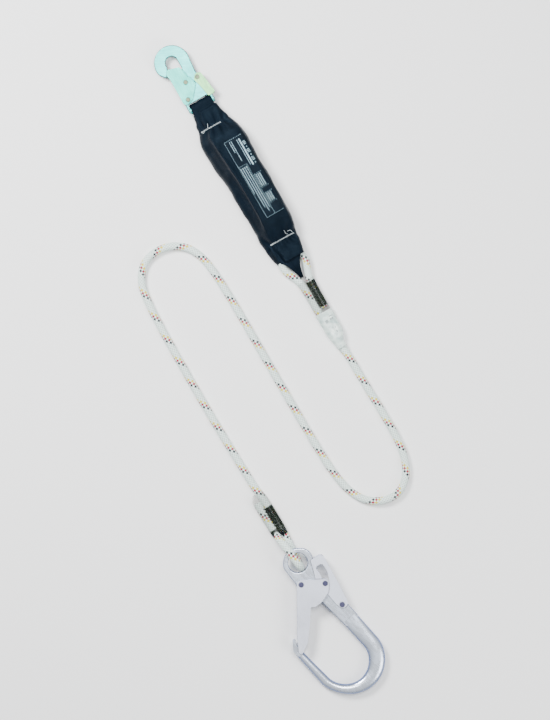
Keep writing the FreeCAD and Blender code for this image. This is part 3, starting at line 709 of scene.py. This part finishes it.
def webbing(name, path, sides, crease):
    """Ribbed webbing along a side profile (x, z); sides give (x, left, right) edges."""
    profile = smooth_line(path)
    table = np.array(sides)
    columns = WEB_RIBS * RIB_COLUMNS
    rings = []
    for i, (x, z) in enumerate(profile):
        ahead = profile[min(i + 1, len(profile) - 1)] - profile[max(i - 1, 0)]
        ahead.normalize()
        out = Vector((-ahead.y, ahead.x))
        left = np.interp(x, table[:, 0], table[:, 1])
        right = np.interp(x, table[:, 0], table[:, 2])
        section = []
        for face in (1, -1):
            for k in range(columns + 1):
                share = k / columns if face == 1 else 1 - k / columns
                y = left + (right - left) * share
                edge = min(share, 1 - share) * (right - left)
                rib = RIB_HEIGHT * math.cos(2 * math.pi * WEB_RIBS * share)
                round_off = min(1.0, 0.25 + edge / (0.8 * MM))
                lift = face * (WEB_THICK / 2 * round_off + rib)
                lift += crease(x, share)
                section.append(Vector((x + out.x * lift, y, max(z + out.y * lift, WEB_REST))))
        rings.append(section)
    return skin(name, rings, WEBBING, LINE)


BAR_Z = bar["pos_m"][2]
BAR_CLEAR = 5.45 * MM     # the bar's radius and a small gap
TURN_R = BAR_CLEAR + WEB_THICK / 2
TURN_START = 75
TURN_SWEEP = 210
TURN_STEPS = 14


def round_bar():
    """Side profile of the webbing's turn round the snap hook's bar, top to bottom."""
    points = []
    for i in range(TURN_STEPS + 1):
        turn = math.radians(TURN_START + TURN_SWEEP * i / TURN_STEPS)
        points.append((BAR_X + TURN_R * math.cos(turn), BAR_Z + TURN_R * math.sin(turn)))
    return points


def gather(x, share):
    """Soft lengthwise pleats where the webbing is drawn together."""
    near = math.exp(-((x - 0.020) / 0.012) ** 2)
    return 0.5 * MM * near * math.sin(share * 2 * math.pi * 2.5 + 1.0)


UPPER_PATH = [
    (0.060, 0.0168), (0.036, 0.0170), (0.020, 0.0168), (0.010, 0.0165), *round_bar(),
    (0.012, 0.0052), (0.022, 0.0098), (0.036, 0.0132), (0.060, 0.0134),
]
UPPER_SIDES = [
    (-0.01, -0.0185, 0.0146), (-0.002, -0.0192, 0.0149), (0.008, -0.0196, 0.0151),
    (0.016, -0.0200, 0.0160), (0.060, -0.0205, 0.0185),
]
upper_loop = webbing("upper_webbing", UPPER_PATH, UPPER_SIDES, gather)
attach(upper_loop, "lanyard")
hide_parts("upper_webbing_loop")


def fold_to_tip(x, share):
    """The webbing is folded lengthwise as it narrows to its tip."""
    near = max(0.0, min(1.0, (x - 0.250) / 0.030))
    mouth = math.exp(-((x - 0.248) / 0.012) ** 2)
    broad = 0.9 * MM * near * math.sin(share * 2 * math.pi * 1.5 + 0.6)
    return broad + 0.45 * MM * mouth * math.sin(share * 2 * math.pi * 4)


LOWER_PATH = [
    (0.200, 0.0150), (0.222, 0.0158), (0.234, 0.0168), (0.246, 0.0176), (0.266, 0.0177), (0.284, 0.0136),
    (0.2905, 0.0105), (0.2915, 0.0078), (0.2885, 0.0058), (0.280, 0.0042), (0.266, 0.0014), (0.250, 0.0013),
    (0.243, 0.0016), (0.238, 0.0050), (0.233, 0.0120), (0.222, 0.0132), (0.200, 0.0134),
]
LOWER_SIDES = [
    (0.200, -0.0200, 0.0200), (0.240, -0.0215, 0.0195), (0.256, -0.0208, 0.0186), (0.262, -0.0165, 0.0135),
    (0.268, -0.0118, 0.0088), (0.276, -0.0086, 0.0046), (0.287, -0.0050, 0.0020), (0.293, -0.0034, 0.0012),
]
lower_loop = webbing("lower_webbing", LOWER_PATH, LOWER_SIDES, fold_to_tip)
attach(lower_loop, "lanyard")
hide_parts("lower_webbing_loop")


# ---------------------------------------------------------------- bar tacks
TACK_PITCH = 0.42 * MM
TACK_HALF = 0.85 * MM     # half the zigzag's width
TACK_LEAN = 0.02
TACK_THREAD_R = 0.30 * MM
END_THREAD_R = 0.20 * MM
END_STEPS = 14
THREAD_SIDES = 6


def on_cover(x, y, lift):
    """A place just above the cover's cloth."""
    return Vector((x, y, top_of_cover(x, y) + lift))


def bar_tack(name, x, y0, y1, node, tails):
    """A dense zigzag of white thread across the cover. Tails: start x, y, run x, y and curl."""
    points = []
    count = int((y1 - y0) / TACK_PITCH)
    for i in range(count + 1):
        y = y0 + i * TACK_PITCH
        side = TACK_HALF if i % 2 else -TACK_HALF
        points.append(on_cover(x + side + TACK_LEAN * (y - y0), y, TACK_THREAD_R))
    tack = tube(name, points, TACK_THREAD_R, THREAD_SIDES, WHITE_THREAD, LINE)
    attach(tack, "lanyard")
    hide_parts(node)
    for number, (tx, ty, dx, dy, curl) in enumerate(tails):
        line = []
        for i in range(END_STEPS + 1):
            t = i / END_STEPS
            arch = math.sin(t * math.pi)
            line.append(on_cover(tx + dx * t + curl * arch, ty + dy * t - curl * 0.5 * math.sin(t * 4),
                                 (0.3 + 0.9 * arch) * MM))
        tail = tube(name + "_end_" + str(number), line, END_THREAD_R, THREAD_SIDES, WHITE_THREAD,
                    LINE)
        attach(tail, "lanyard")


bar_tack("upper_bar_tack", UPPER_BAR, -0.0230, 0.0085, "upper_bar_stitch",
         [(0.0375, -0.0215, -0.0015, 0.0030, 0.0024), (0.0355, -0.0110, -0.0060, 0.0012, 0.0020)])
bar_tack("lower_bar_tack", LOWER_BAR, -0.0180, 0.0205, "lower_bar_stitch",
         [(0.2270, 0.0120, -0.0070, -0.0030, 0.0016), (0.2280, 0.0190, -0.0045, -0.0050, -0.0018)])


# ---------------------------------------------------------------- label
LABEL = (0.066, 0.193, -0.0040, 0.0268)     # x from, to; y from, to
LABEL_REACH = 2.5 * MM    # the cloth's height is averaged this far round a place
LABEL_RISE = 0.55 * MM
LABEL_STEP = 1.6 * MM
LABEL_THICK = 0.45 * MM
PRINT_RISE = 0.10 * MM
PRINT_THICK = 0.12 * MM
PRINT_PART = 3 * MM       # longer marks are split, so that they follow the tape


def label_finish():
    """Dark woven tape with fine rows."""
    made = Finish("label_tape", (0.002, 0.005, 0.010), 0.5, Specular_IOR_Level=0.12,
                  Specular_Tint=(0.55, 0.78, 1.0, 1))
    _, width = made.sewn()
    rows = ridge(made, width, 0.0006)
    dust = made.noise(made.place(), 60, 4)
    tone = made.blend((rows, 0.4), (dust, 0.8))
    made.color(made.mix(made.remap(tone, 0.3, 1.0, 0, 1),
                        (0.0004, 0.0012, 0.0026), (0.0042, 0.0088, 0.0155)))
    made.bump(rows, 0.00012, 0.7)
    return made.material


def print_finish():
    """Worn pale print."""
    made = Finish("label_print", (0.42, 0.62, 0.70), 0.6)
    worn = made.noise(made.place(), 700, 3)
    made.color(made.mix(made.remap(worn, 0.35, 0.6, 0, 1), (0.10, 0.18, 0.23), (0.42, 0.63, 0.72)))
    return made.material


LABEL_TAPE = label_finish()
PRINT = print_finish()


def label_height(x, y):
    """The tape lies over the cover's small folds: the mean of the cloth round a place."""
    shifts = (-LABEL_REACH, 0, LABEL_REACH)
    return np.mean([top_of_cover(x + i, y + k) for i in shifts for k in shifts]) + LABEL_RISE


def thicken(piece, thick):
    """Give a sheet its thickness, below its face."""
    shell = piece.modifiers.new("thickness", "SOLIDIFY")
    shell.thickness = thick
    shell.offset = -1


def label_tape():
    """The tape, laid over the cover."""
    x0, x1, y0, y1 = LABEL
    nx = int((x1 - x0) / LABEL_STEP)
    ny = int((y1 - y0) / LABEL_STEP)
    vertices = []
    faces = []
    uvs = []
    for i in range(nx + 1):
        for k in range(ny + 1):
            x = x0 + (x1 - x0) * i / nx
            y = y0 + (y1 - y0) * k / ny
            vertices.append(LINE @ Vector((x, y, label_height(x, y))))
    for i in range(nx):
        for k in range(ny):
            corner = ((i, k), (i + 1, k), (i + 1, k + 1), (i, k + 1))
            faces.append(tuple(a * (ny + 1) + b for a, b in corner))
            uvs.append(tuple(((x1 - x0) * a / nx, (y1 - y0) * b / ny) for a, b in corner))
    made = link("label_tape", vertices, faces, LABEL_TAPE, uvs)
    thicken(made, LABEL_THICK)
    return made


label = label_tape()
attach(label, "lanyard")
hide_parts("instruction_label")


def label_marks():
    """Generic print: dashed border, short strokes in rows, blocks and two boxes. No lettering."""
    dice = random.Random(7)
    marks = []
    dash_step, dash_long, dash_wide = 2.6 * MM, 1.5 * MM, 0.35 * MM

    def block(x, y, long, wide):
        marks.append((x, y, long, wide))

    def dashes(xa, ya, xb, yb):
        run = math.hypot(xb - xa, yb - ya)
        count = int(run / dash_step)
        for i in range(count):
            t = (i + 0.25) / count
            if abs(xb - xa) > abs(yb - ya):
                block(xa + (xb - xa) * t, ya, dash_long, dash_wide)
            else:
                block(xa, ya + (yb - ya) * t, dash_wide, dash_long)

    def row(xa, xb, y, wide):
        x = xa
        while x < xb:
            long = dice.uniform(0.8, 3.6) * MM
            block(x, y, min(long, xb - x), wide)
            x += long + dice.uniform(0.5, 1.1) * MM

    x0, x1, y0, y1 = LABEL
    edge = 1.3 * MM
    left, right, low, high = x0 + edge, x1 - edge, y0 + edge, y1 - edge
    dashes(left, low, right, low)
    dashes(left, low, left, high)
    dashes(right, low, right, high)
    split = x0 + 0.043
    shelf = low + 0.0135
    dashes(split, low, split, shelf)
    dashes(split, shelf, right, shelf)
    for i in range(3):
        start = x0 + 0.012 + 0.0130 * i
        for k in range(3):
            block(start + 2.1 * MM * k, high - 0.0040, 0.9 * MM, 3.8 * MM)
        block(start + 8.6 * MM, high - 0.0026, 1.4 * MM, 1.4 * MM)
    block(x0 + 0.006, high - 0.0075, 43 * MM, 2.0 * MM)
    row(x0 + 0.006, x0 + 0.047, high - 0.0103, 0.7 * MM)
    row(left + 0.003, left + 0.036, shelf - 0.0040, 0.8 * MM)
    row(left + 0.003, left + 0.020, shelf - 0.0068, 0.8 * MM)
    for i, share in enumerate((0.92, 0.98, 0.88, 0.55)):
        row(split + 0.003, split + 0.003 + 0.074 * share, shelf - 0.0026 - 0.0031 * i, 0.9 * MM)
    for box_x, box_long in ((x0 + 0.062, 0.022), (x0 + 0.093, 0.016)):
        bottom, top = shelf + 0.0016, high - 0.0008
        dashes(box_x, bottom, box_x + box_long, bottom)
        dashes(box_x, bottom, box_x, top)
        dashes(box_x + box_long, bottom, box_x + box_long, top)
        for i in range(3):
            row(box_x + 0.0018, box_x + box_long - 0.0018, bottom + 0.0018 + 0.0029 * i, 1.2 * MM)

    vertices = []
    faces = []
    for x, y, long, wide in marks:
        parts = max(1, int(long / PRINT_PART))
        for i in range(parts):
            xa = x + long * i / parts
            xb = x + long * (i + 1) / parts
            base = len(vertices)
            for px, py in ((xa, y), (xb, y), (xb, y + wide), (xa, y + wide)):
                vertices.append(LINE @ Vector((px, py, label_height(px, py) + PRINT_RISE)))
            faces.append((base, base + 1, base + 2, base + 3))
    made = link("label_print", vertices, faces, PRINT, smooth=False)
    thicken(made, PRINT_THICK)
    return made


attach(label_marks(), "lanyard")


# ---------------------------------------------------------------- splices
SEAM_THREAD_R = 0.36 * MM
SEAM_PITCH = 0.78 * MM
SEAM_REST = 0.1 * MM      # the thread stays this far above the floor
LAP_STEPS = 16            # vertices round a leg, in each lap
TOOTH_LAPS = 6            # laps in each tooth of the seam's ragged edge
DEEPEST_BITE = 0.95 * ROPE_R


def leg_path(frame_of, first, last):
    """Where one leg of the rope runs, as a function of x along a splice's own frame."""
    places = [frame_of.inverted() @ p for p in rope_path[first:last]]
    table = np.array(sorted(tuple(p) for p in places))

    def at(x):
        return tuple(float(np.interp(x, table[:, 0], column)) for column in table.T[1:])
    return at


def seam_loop(reach, drop, radius):
    """One lap of sewing thread: round a leg, then into the other leg and back out of it."""
    span = math.hypot(reach, drop)
    leave = math.pi - math.atan2(drop, reach) - math.acos(radius / span)
    lap = [Vector((-reach, drop)), Vector((-reach, -drop))]
    for i in range(LAP_STEPS + 1):
        angle = -leave + 2 * leave * i / LAP_STEPS
        lap.append(Vector((radius * math.cos(angle), radius * math.sin(angle))))
    return lap


def seam(name, path_of, x0, x1, side, overlap, teeth, place):
    """Dense sewing over one leg: laps of thread that also bite into the other leg."""
    dice = random.Random(11)
    laps = int((x1 - x0) / SEAM_PITCH)
    points = []
    for lap in range(laps):
        x = x0 + lap * SEAM_PITCH
        y, z = path_of(x)
        wobble = dice.uniform(-1, 1)
        tooth = teeth * (0.5 + 0.5 * math.sin(2 * math.pi * lap / TOOTH_LAPS)) + 0.25 * MM * wobble
        reach = LEG_HALF + overlap + tooth
        radius = ROPE_R + SEAM_THREAD_R * (1.0 + 0.15 * wobble)
        bite = min(LEG_HALF - overlap - tooth, DEEPEST_BITE)
        drop = math.sqrt(ROPE_R ** 2 - bite ** 2) + 0.6 * SEAM_THREAD_R
        loop = seam_loop(reach, drop, radius)
        for i, p in enumerate(loop):
            slide = SEAM_PITCH * i / len(loop) + 0.1 * MM * wobble
            height = max(z + p.y, SEAM_THREAD_R + SEAM_REST)
            points.append(Vector((x + slide, y + side * p.x, height)))
    made = tube(name, points, SEAM_THREAD_R, THREAD_SIDES, BLACK_THREAD, place)
    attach(made, "lanyard")
    return made


# The sewn legs, each a stretch of the rope's traced path.
TRACED = len(rope_path)
upper_right = leg_path(LINE, 0, TRACED // 24)
lower_right = leg_path(EYE, TRACED * 3 // 4, TRACED - TRACED // 7)
lower_left = leg_path(EYE, TRACED - TRACED // 11, TRACED)
upper_seam = seam("upper_splice_thread", upper_right, 0.302, 0.3445, 1, 1.3 * MM, 0.5 * MM, LINE)
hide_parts("upper_splice_stitching")
lower_seam = seam("lower_splice_thread", lower_right, -0.0925, -0.0445, 1, 0.3 * MM, 2.2 * MM, EYE)
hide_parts("lower_splice_stitching")
lower_end_seam = seam("lower_splice_end_thread", lower_left, -0.0590, -0.0480, -1, 0.4 * MM, 0.3 * MM, EYE)


# ---------------------------------------------------------------- sleeves
SLEEVE_SIDES = 72
SLEEVE_STEP = 0.9 * MM
SLEEVE_SKIN = 0.4 * MM    # its wall
SLEEVE_REST = 0.15 * MM   # its underside stays this far above the floor
LIP = 0.25 * MM           # how far its ends flare, and over what length
LIP_REACH = 0.8 * MM


def leg_ring(x, middle, half, tall, z, pinch):
    """A sleeve's section: straight over the two legs with a waist between them, round at the sides."""
    span = half - tall
    bend = math.pi * tall
    section = []
    for k in range(SLEEVE_SIDES):
        walk = 2 * (2 * span + bend) * k / SLEEVE_SIDES
        side = 1
        if walk >= 2 * span + bend:
            walk -= 2 * span + bend
            side = -1
        if walk < 2 * span:
            y = side * (span - walk)
            rise = side * tall * (1 - pinch * math.exp(-(y / (0.5 * span + 1.0 * MM)) ** 2))
        else:
            angle = (walk - 2 * span) / tall
            y = -side * (span + tall * math.sin(angle))
            rise = side * tall * math.cos(angle)
        section.append(Vector((x, middle + y, z + rise)))
    return section


def sleeve(name, stations, finish, node, place, ripple, seed):
    """A shrunk tube over the splice. Stations: x, middle, half width, half height, height, waist."""
    table = np.array(stations)
    x0, x1 = table[0, 0], table[-1, 0]
    count = int((x1 - x0) / SLEEVE_STEP)
    outer = []
    inner = []
    for i in range(count + 1):
        x = x0 + (x1 - x0) * i / count
        middle, half, tall, z, pinch = (np.interp(x, table[:, 0], column) for column in table.T[1:])
        lip = LIP * math.exp(-min(x - x0, x1 - x) / LIP_REACH)
        section = leg_ring(x, middle, half + lip, tall + lip, z, pinch)
        core = Vector((x, middle, z))
        moved = []
        for p in section:
            out = (p - core).normalized()
            wave = noise.noise(Vector((p.x * 90 + seed, p.y * 160, p.z * 160)))
            fold = noise.noise(Vector((p.x * 320, p.y * 90 + seed, p.z * 90)))
            moved.append(p + out * ripple * (wave + 0.6 * fold))
        outer.append(moved)
        inner.append([p - (p - core).normalized() * SLEEVE_SKIN for p in moved])
    rings = outer + inner[::-1]
    made = skin(name, rings, finish, place, closed=True)
    for v in made.data.vertices:
        v.co.z = max(v.co.z, SLEEVE_REST)
    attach(made, "lanyard")
    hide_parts(node)
    return made


def sleeve_finish(name, light, dark, alpha, roughness, cloud_scale, coat):
    """Shrunk plastic, cloudy and slightly dimpled."""
    made = Finish(name, light, roughness, Alpha=alpha, Coat_Weight=coat, Coat_Roughness=0.12)
    cloud = made.noise(made.place(), cloud_scale, 4)
    made.color(made.mix(made.remap(cloud, 0.35, 0.65, 0, 1), dark, light))
    made.rough(made.remap(cloud, 0.3, 0.7, roughness + 0.12, roughness - 0.08))
    made.bump(made.noise(made.place(), 420, 3), 0.00025, 0.6)
    return made.material


CLEAR = sleeve_finish("clear_sleeve", (0.030, 0.045, 0.008), (0.012, 0.020, 0.008), 0.10, 0.22, 90, 0.1)
MILKY = sleeve_finish("milky_sleeve", (0.80, 0.92, 0.86), (0.40, 0.54, 0.52), 0.90, 0.26, 120, 0.3)

OUT = ROPE_R + 1.45 * MM  # half the height of a sleeve over the sewing
HALF = LEG_HALF + OUT     # and half its width
upper_clear = sleeve("upper_clear_sleeve_skin", [
    (0.2985, 0.0, HALF + 0.6 * MM, OUT + 0.3 * MM, SPLICE_Z, 0.02),
    (0.308, 0.0, HALF, OUT, SPLICE_Z, 0.08),
    (0.345, 0.0, HALF, OUT, SPLICE_Z, 0.08),
    (0.3545, 0.0, HALF, OUT, SPLICE_Z, 0.05),
], CLEAR, "upper_clear_sleeve", LINE, 0.15 * MM, 3)
id_skin = sleeve("id_sleeve_skin", [
    (0.3515, 0.0, HALF + 0.45 * MM, OUT + 0.45 * MM, SPLICE_Z, 0.02),
    (0.358, 0.0, HALF + 0.2 * MM, OUT + 0.2 * MM, SPLICE_Z, 0.06),
    (0.386, -0.0002, HALF - 0.2 * MM, OUT + 0.1 * MM, SPLICE_Z, 0.04),
    (0.3945, -0.0008, HALF - 2.2 * MM, OUT, SPLICE_Z, 0.0),
    (0.4005, -0.0018, HALF - 5.0 * MM, OUT - 0.2 * MM, SPLICE_Z - 0.3 * MM, 0.0),
    (0.4095, -0.0016, HALF - 5.55 * MM, OUT - 0.6 * MM, SPLICE_Z - 0.7 * MM, 0.0),
], MILKY, "id_sleeve", LINE, 0.22 * MM, 9)
lower_clear = sleeve("lower_clear_sleeve_skin", [
    (-0.1165, 0.0022, HALF - 4.6 * MM, OUT - 0.4 * MM, SPLICE_Z - 0.6 * MM, 0.0),
    (-0.109, 0.0004, HALF - 0.8 * MM, OUT, SPLICE_Z, 0.02),
    (-0.100, 0.0, HALF, OUT, SPLICE_Z, 0.06),
    (-0.066, 0.0, HALF, OUT, SPLICE_Z, 0.08),
    (-0.0525, -0.0001, HALF - 0.2 * MM, OUT + 0.75 * MM, SPLICE_Z + 0.5 * MM, 0.04),
], CLEAR, "lower_clear_sleeve", EYE, 0.15 * MM, 6)


MARK_CELLS = 6            # faces along each side of a printed mark
MARK_RISE = 0.05 * MM


def id_marks(marks):
    """Grey blocks on the white sleeve, in place of its print. Marks: x, y, length, width."""
    shell = surface_of(id_skin)
    made = Finish("id_print", (0.16, 0.20, 0.20), 0.6)
    grain = made.noise(made.place(), 900, 3)
    made.color(made.mix(made.remap(grain, 0.35, 0.65, 0, 1), (0.10, 0.14, 0.14), (0.42, 0.50, 0.49)))
    pieces = []
    for index, (x, y, long, wide) in enumerate(marks):
        vertices = []
        for i in range(MARK_CELLS + 1):
            for j in range(MARK_CELLS + 1):
                px = x + long * (i / MARK_CELLS - 0.5)
                py = y + wide * (j / MARK_CELLS - 0.5)
                hit = shell.ray_cast(LINE @ Vector((px, py, RAY_START)), DOWN)[0]
                vertices.append(hit + Vector((0, 0, MARK_RISE)))
        faces = []
        for i in range(MARK_CELLS):
            for j in range(MARK_CELLS):
                k = i * (MARK_CELLS + 1) + j
                faces.append((k, k + MARK_CELLS + 1, k + MARK_CELLS + 2, k + 1))
        piece = link("id_print_" + str(index + 1), vertices, faces, made.material)
        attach(piece, "lanyard")
        pieces.append(piece)
    return pieces


id_print = id_marks([
    (0.3610, 6.2 * MM, 1.6 * MM, 4.4 * MM), (0.3655, 5.6 * MM, 3.2 * MM, 5.2 * MM),
    (0.3660, -2.6 * MM, 4.2 * MM, 4.6 * MM), (0.3775, 1.2 * MM, 1.6 * MM, 1.4 * MM),
    (0.3790, 4.4 * MM, 1.6 * MM, 1.4 * MM), (0.3850, 3.6 * MM, 3.4 * MM, 1.6 * MM),
])

# ---------------------------------------------------------------- floor and end
FLOOR_HALF = 4.0
FLOOR_DROP = 0.3 * MM     # just under the object, so that the two don't share a plane
FLOOR_CORNERS = ((-1, -1), (1, -1), (1, 1), (-1, 1))

floor_mesh = bpy.data.meshes.new("floor")
floor_mesh.from_pydata([(FLOOR_HALF * x, FLOOR_HALF * y, 0) for x, y in FLOOR_CORNERS], [], [(0, 1, 2, 3)])
floor_mesh.materials.append(Finish("floor", (0.94, 0.94, 0.94), 0.7).material)
floor = bpy.data.objects.new("floor", floor_mesh)
bpy.context.collection.objects.link(floor)
floor.location.z = -FLOOR_DROP
